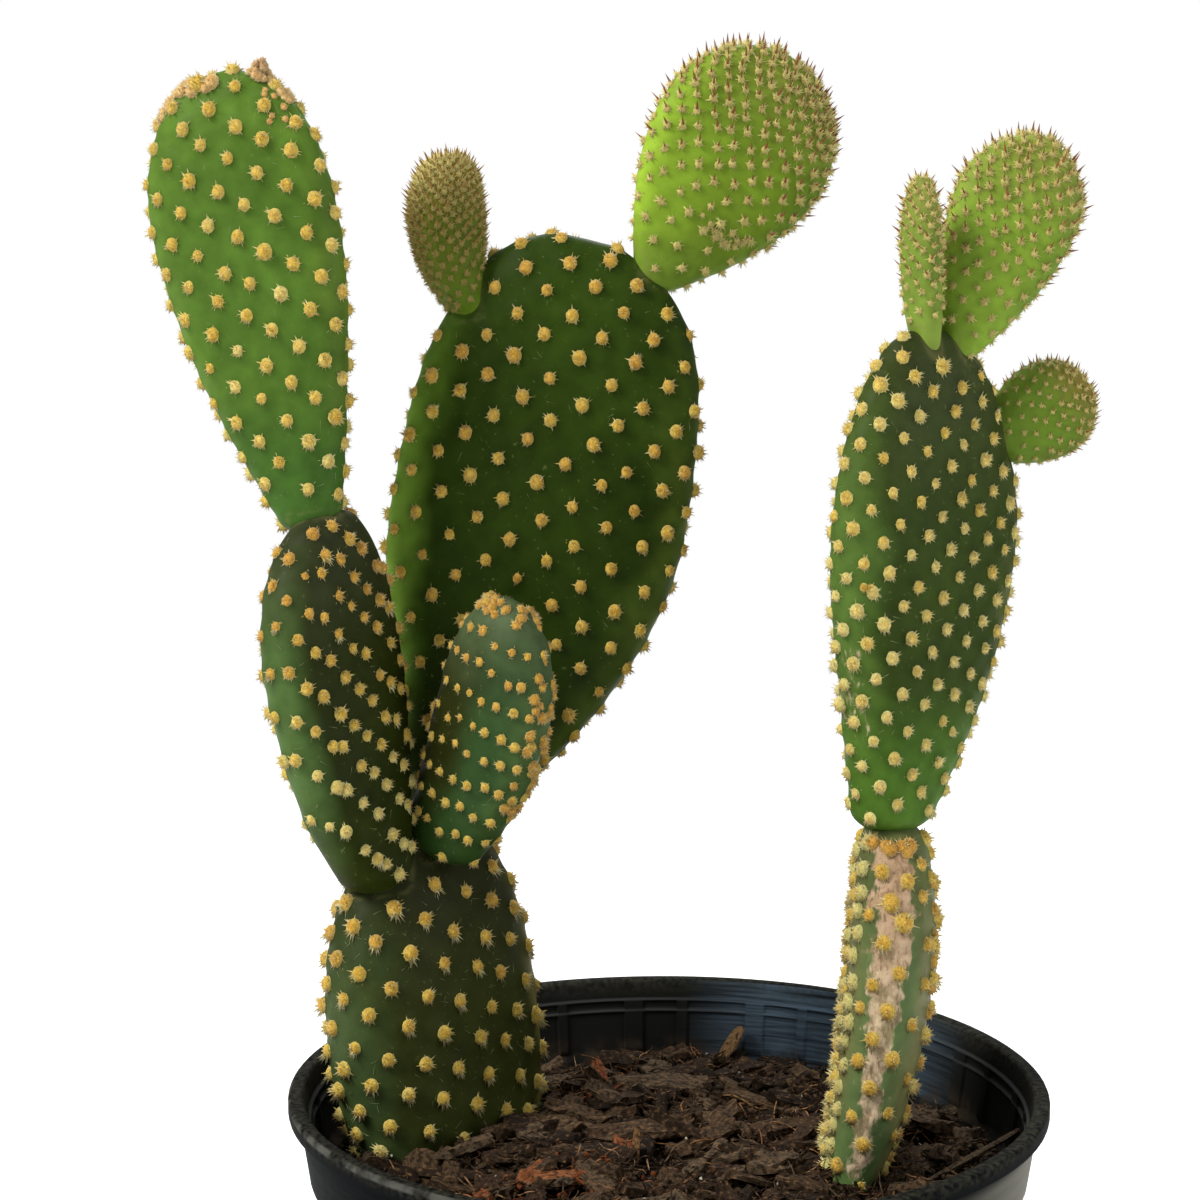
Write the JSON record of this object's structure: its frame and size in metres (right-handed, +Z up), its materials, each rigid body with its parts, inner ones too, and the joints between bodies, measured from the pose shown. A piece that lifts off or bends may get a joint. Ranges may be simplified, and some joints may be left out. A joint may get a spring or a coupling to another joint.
{
  "type": "potted paddle cactus",
  "caption": "Potted paddle cactus: branching stems of flat green pads dotted with golden bristle tufts, in bark mix in a round black plastic nursery pot.",
  "frame": {"origin": "centre of the circle that the pot stands on, on the surface under it", "axes": "+Z up, -Y towards the viewer of the front, +X to the viewer's right"},
  "size_m": [0.1887, 0.15, 0.3274],
  "materials": {
    "pot": "black moulded plastic, satin",
    "bark_mix": "loose brown bark chips, matt",
    "trunk_skin": "dark green waxy skin with golden bristle tufts",
    "mature_skin": "green waxy skin with golden bristle tufts",
    "young_skin": "light green waxy skin with cream tufts and small pointed leaves"
  },
  "bodies": {
    "root": {"pot": "pot", "bark_mix": "bark_mix", "left_trunk_pad": "trunk_skin", "left_lower_pad": "mature_skin", "left_upper_pad": "mature_skin", "broad_pad": "mature_skin", "small_front_pad": "mature_skin", "right_trunk_pad": "trunk_skin", "right_tall_pad": "mature_skin", "young_left_bud": "young_skin", "young_bright_pad": "young_skin", "young_finger_bud": "young_skin", "young_oval_pad": "young_skin", "young_round_bud": "young_skin"}
  },
  "joints": []
}
